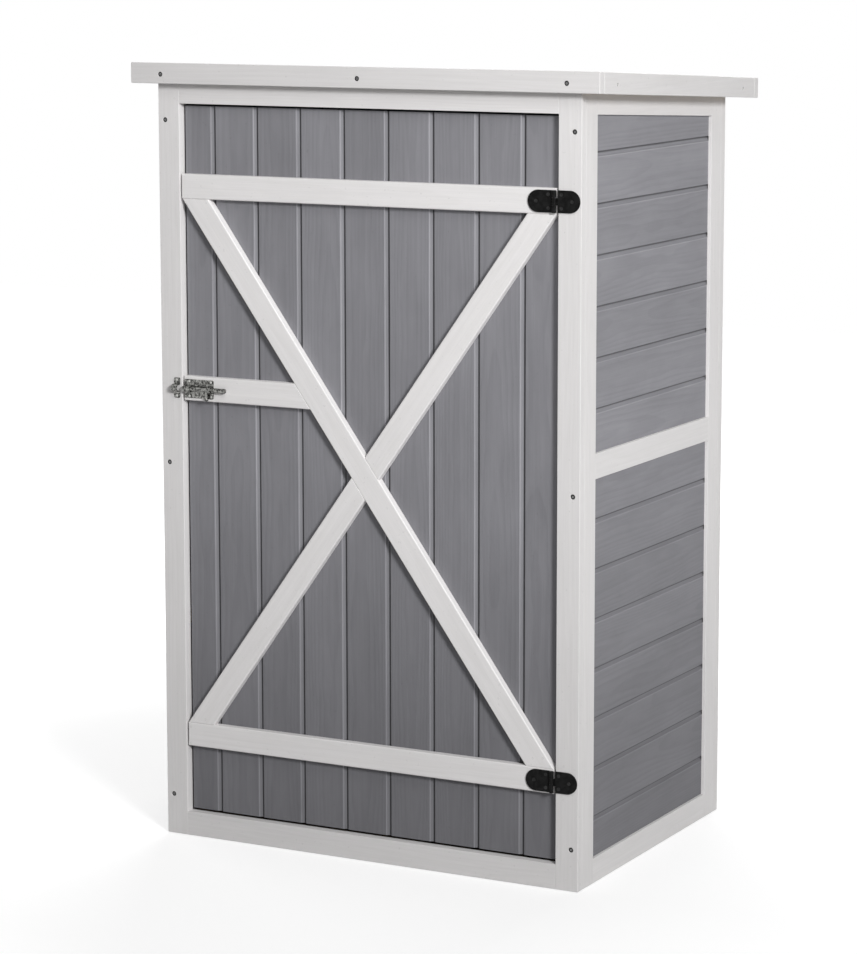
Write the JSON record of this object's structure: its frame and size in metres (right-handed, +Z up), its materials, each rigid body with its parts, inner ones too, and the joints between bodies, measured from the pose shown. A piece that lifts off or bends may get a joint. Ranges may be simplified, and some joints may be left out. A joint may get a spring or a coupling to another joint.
{
  "type": "garden storage shed",
  "caption": "Small wooden garden shed with grey shiplap panels in a white frame, a ledged and braced door with a barrel bolt, inner shelves and a low felted roof that slopes to the back.",
  "frame": {"origin": "on the ground, under the middle of the roof", "axes": "+X to the right along the front, +Y from the door to the back, +Z up"},
  "size_m": [0.75, 0.56, 1.15],
  "materials": {
    "white_paint": "planed softwood under opaque white paint, satin",
    "grey_stain": "planed softwood under matt grey stain, with faint grain",
    "bare_wood": "planed softwood, left bare inside",
    "black_metal": "steel with a black coating, satin",
    "zinc": "zinc plated steel",
    "roof_felt": "bitumen roofing felt with fine mineral grit"
  },
  "bodies": {
    "cabinet": {"front_post_left": "white_paint", "front_post_right": "white_paint", "front_header": "white_paint", "front_sill": "white_paint", "left_front_stile": "white_paint", "left_rear_stile": "white_paint", "left_top_rail": "white_paint", "left_mid_rail": "white_paint", "left_bottom_rail": "white_paint", "left_upper_boards": "grey_stain", "left_lower_boards": "grey_stain", "right_front_stile": "white_paint", "right_rear_stile": "white_paint", "right_top_rail": "white_paint", "right_mid_rail": "white_paint", "right_bottom_rail": "white_paint", "right_upper_boards": "grey_stain", "right_lower_boards": "grey_stain", "back_stile_left": "white_paint", "back_stile_right": "white_paint", "back_top_rail": "white_paint", "back_mid_rail": "white_paint", "back_bottom_rail": "white_paint", "back_upper_boards": "grey_stain", "back_lower_boards": "grey_stain", "floor_bearers": "bare_wood", "floor_boards": "bare_wood", "lower_shelf_cleats": "bare_wood", "lower_shelf_slats": "bare_wood", "upper_shelf_cleats": "bare_wood", "upper_shelf_slats": "bare_wood", "roof_battens": "bare_wood", "roof_deck": "bare_wood", "roof_felt": "roof_felt", "front_fascia": "white_paint", "rear_fascia": "white_paint", "left_fascia": "white_paint", "right_fascia": "white_paint", "frame_screws": "black_metal", "fascia_screws": "black_metal", "top_hinge_post_leaf": "black_metal", "bottom_hinge_post_leaf": "black_metal", "hinge_pins": "black_metal", "hinge_post_screws": "black_metal", "bolt_keeper": "zinc", "keeper_screws": "zinc"},
    "door": {"door_boards": "grey_stain", "top_ledge": "white_paint", "latch_ledge": "white_paint", "bottom_ledge": "white_paint", "full_brace": "white_paint", "upper_brace": "white_paint", "lower_brace": "white_paint", "top_hinge_door_leaf": "black_metal", "bottom_hinge_door_leaf": "black_metal", "hinge_door_screws": "black_metal", "bolt_plate": "zinc", "bolt_plate_screws": "zinc"},
    "bolt": {"sliding_bolt": "zinc"}
  },
  "joints": [
    {"name": "door_hinge", "type": "hinge", "parent": "cabinet", "child": "door", "pos_m": [0.3, -0.2654, 0.5635], "axis": [0, 0, 1], "range_deg": [0, 175]},
    {"name": "bolt_slide", "type": "slide", "parent": "door", "child": "bolt", "axis": [-1, 0, 0], "range_m": [0, 0.0235]}
  ]
}
